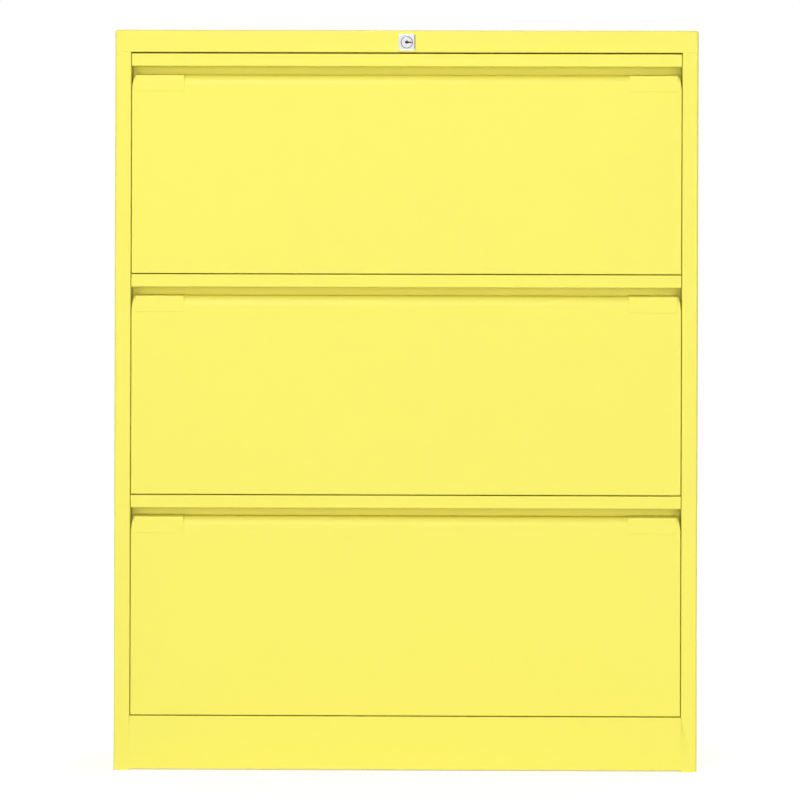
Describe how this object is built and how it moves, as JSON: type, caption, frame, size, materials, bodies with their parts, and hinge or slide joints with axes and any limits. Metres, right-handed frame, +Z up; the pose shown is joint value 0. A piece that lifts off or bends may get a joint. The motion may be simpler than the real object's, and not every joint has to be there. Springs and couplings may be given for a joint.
{
  "type": "filing cabinet",
  "caption": "Side filing cabinet in folded steel with full-extension drawers, recessed finger grips, label holders, a cam lock that drives a locking bar, and levelling feet.",
  "frame": {"origin": "on the floor, under the middle of the body's footprint", "axes": "+X to the cabinet's right as seen from the front, +Y to the back, +Z up"},
  "size_m": [0.8, 0.4745, 1.016],
  "materials": {
    "yellow_paint": "smooth satin powder coat",
    "zinc_plate": "bright zinc plate",
    "lock_chrome": "polished chrome plate",
    "dark_plastic": "moulded, fine grain",
    "label_plastic": "moulded, colour-matched",
    "buffer_rubber": "matt"
  },
  "bodies": {
    "carcass": {"left_side_panel": "yellow_paint", "right_side_panel": "yellow_paint", "top_panel": "yellow_paint", "back_panel": "yellow_paint", "plinth_panel": "yellow_paint", "base_panel": "yellow_paint", "left_runner_posts": "yellow_paint", "right_runner_posts": "yellow_paint", "foot_brackets": "zinc_plate", "rail_buffers": "buffer_rubber", "lock_housing": "lock_chrome", "lock_clip": "zinc_plate", "lock_guides": "dark_plastic", "bottom_outer_rails": "zinc_plate", "middle_outer_rails": "zinc_plate", "top_outer_rails": "zinc_plate"},
    "bottom_drawer": {"bottom_front_panel": "yellow_paint", "bottom_inner_panel": "yellow_paint", "bottom_grip_rail": "yellow_paint", "bottom_tray": "yellow_paint", "bottom_tray_back": "yellow_paint", "bottom_file_bars": "zinc_plate", "bottom_label_holders": "label_plastic", "bottom_lock_catch": "zinc_plate", "bottom_inner_rails": "zinc_plate"},
    "bottom_outer_cages": {"bottom_outer_cages": "dark_plastic"},
    "bottom_middle_rails": {"bottom_middle_rails": "zinc_plate"},
    "bottom_inner_cages": {"bottom_inner_cages": "dark_plastic"},
    "middle_drawer": {"middle_front_panel": "yellow_paint", "middle_inner_panel": "yellow_paint", "middle_grip_rail": "yellow_paint", "middle_tray": "yellow_paint", "middle_tray_back": "yellow_paint", "middle_file_bars": "zinc_plate", "middle_label_holders": "label_plastic", "middle_lock_catch": "zinc_plate", "middle_inner_rails": "zinc_plate"},
    "middle_outer_cages": {"middle_outer_cages": "dark_plastic"},
    "middle_middle_rails": {"middle_middle_rails": "zinc_plate"},
    "middle_inner_cages": {"middle_inner_cages": "dark_plastic"},
    "top_drawer": {"top_front_panel": "yellow_paint", "top_inner_panel": "yellow_paint", "top_grip_rail": "yellow_paint", "top_tray": "yellow_paint", "top_tray_back": "yellow_paint", "top_file_bars": "zinc_plate", "top_label_holders": "label_plastic", "top_lock_catch": "zinc_plate", "top_inner_rails": "zinc_plate"},
    "top_outer_cages": {"top_outer_cages": "dark_plastic"},
    "top_middle_rails": {"top_middle_rails": "zinc_plate"},
    "top_inner_cages": {"top_inner_cages": "dark_plastic"},
    "lock_plug": {"lock_plug": "lock_chrome", "lock_cam": "zinc_plate"},
    "lock_link": {"lock_link": "zinc_plate"},
    "lock_bar": {"lock_bar": "zinc_plate"},
    "levelling_foot_front_left": {"levelling_foot_front_left": "dark_plastic"},
    "levelling_foot_front_right": {"levelling_foot_front_right": "dark_plastic"},
    "levelling_foot_rear_left": {"levelling_foot_rear_left": "dark_plastic"},
    "levelling_foot_rear_right": {"levelling_foot_rear_right": "dark_plastic"}
  },
  "joints": [
    {"name": "bottom_drawer_slide", "type": "slide", "parent": "carcass", "child": "bottom_drawer", "axis": [0, -1, 0], "range_m": [0, 0.4]},
    {"name": "bottom_outer_cages_slide", "type": "slide", "parent": "carcass", "child": "bottom_outer_cages", "axis": [0, -1, 0], "range_m": [0, 0.1001]},
    {"name": "bottom_middle_rails_slide", "type": "slide", "parent": "carcass", "child": "bottom_middle_rails", "axis": [0, -1, 0], "range_m": [0, 0.2001]},
    {"name": "bottom_inner_cages_slide", "type": "slide", "parent": "carcass", "child": "bottom_inner_cages", "axis": [0, -1, 0], "range_m": [0, 0.3001]},
    {"name": "middle_drawer_slide", "type": "slide", "parent": "carcass", "child": "middle_drawer", "axis": [0, -1, 0], "range_m": [0, 0.4]},
    {"name": "middle_outer_cages_slide", "type": "slide", "parent": "carcass", "child": "middle_outer_cages", "axis": [0, -1, 0], "range_m": [0, 0.1001]},
    {"name": "middle_middle_rails_slide", "type": "slide", "parent": "carcass", "child": "middle_middle_rails", "axis": [0, -1, 0], "range_m": [0, 0.2001]},
    {"name": "middle_inner_cages_slide", "type": "slide", "parent": "carcass", "child": "middle_inner_cages", "axis": [0, -1, 0], "range_m": [0, 0.3001]},
    {"name": "top_drawer_slide", "type": "slide", "parent": "carcass", "child": "top_drawer", "axis": [0, -1, 0], "range_m": [0, 0.4]},
    {"name": "top_outer_cages_slide", "type": "slide", "parent": "carcass", "child": "top_outer_cages", "axis": [0, -1, 0], "range_m": [0, 0.1001]},
    {"name": "top_middle_rails_slide", "type": "slide", "parent": "carcass", "child": "top_middle_rails", "axis": [0, -1, 0], "range_m": [0, 0.2001]},
    {"name": "top_inner_cages_slide", "type": "slide", "parent": "carcass", "child": "top_inner_cages", "axis": [0, -1, 0], "range_m": [0, 0.3001]},
    {"name": "lock_bar_slide", "type": "slide", "parent": "carcass", "child": "lock_bar", "axis": [0, 0, -1], "range_m": [0, 0.0112]},
    {"name": "lock_link_slide", "type": "slide", "parent": "carcass", "child": "lock_link", "axis": [1, 0, 0], "range_m": [0, 0.0115]},
    {"name": "lock_turn", "type": "hinge", "parent": "carcass", "child": "lock_plug", "pos_m": [0, -0.235, 0.9989], "axis": [0, 1, 0], "range_deg": [0, 90]},
    {"name": "levelling_foot_front_left_screw", "type": "slide", "parent": "carcass", "child": "levelling_foot_front_left", "axis": [0, 0, -1], "range_m": [0, 0.012]},
    {"name": "levelling_foot_front_right_screw", "type": "slide", "parent": "carcass", "child": "levelling_foot_front_right", "axis": [0, 0, -1], "range_m": [0, 0.012]},
    {"name": "levelling_foot_rear_left_screw", "type": "slide", "parent": "carcass", "child": "levelling_foot_rear_left", "axis": [0, 0, -1], "range_m": [0, 0.012]},
    {"name": "levelling_foot_rear_right_screw", "type": "slide", "parent": "carcass", "child": "levelling_foot_rear_right", "axis": [0, 0, -1], "range_m": [0, 0.012]}
  ],
  "couplings": [
    {"joint": "bottom_outer_cages_slide", "follows": "bottom_drawer_slide", "ratio": 0.25},
    {"joint": "bottom_middle_rails_slide", "follows": "bottom_drawer_slide", "ratio": 0.5},
    {"joint": "bottom_inner_cages_slide", "follows": "bottom_drawer_slide", "ratio": 0.75},
    {"joint": "middle_outer_cages_slide", "follows": "middle_drawer_slide", "ratio": 0.25},
    {"joint": "middle_middle_rails_slide", "follows": "middle_drawer_slide", "ratio": 0.5},
    {"joint": "middle_inner_cages_slide", "follows": "middle_drawer_slide", "ratio": 0.75},
    {"joint": "top_outer_cages_slide", "follows": "top_drawer_slide", "ratio": 0.25},
    {"joint": "top_middle_rails_slide", "follows": "top_drawer_slide", "ratio": 0.5},
    {"joint": "top_inner_cages_slide", "follows": "top_drawer_slide", "ratio": 0.75},
    {"joint": "lock_link_slide", "follows": "lock_bar_slide", "ratio": 1},
    {"joint": "lock_turn", "follows": "lock_bar_slide", "rad_per_m": 138.84}
  ]
}
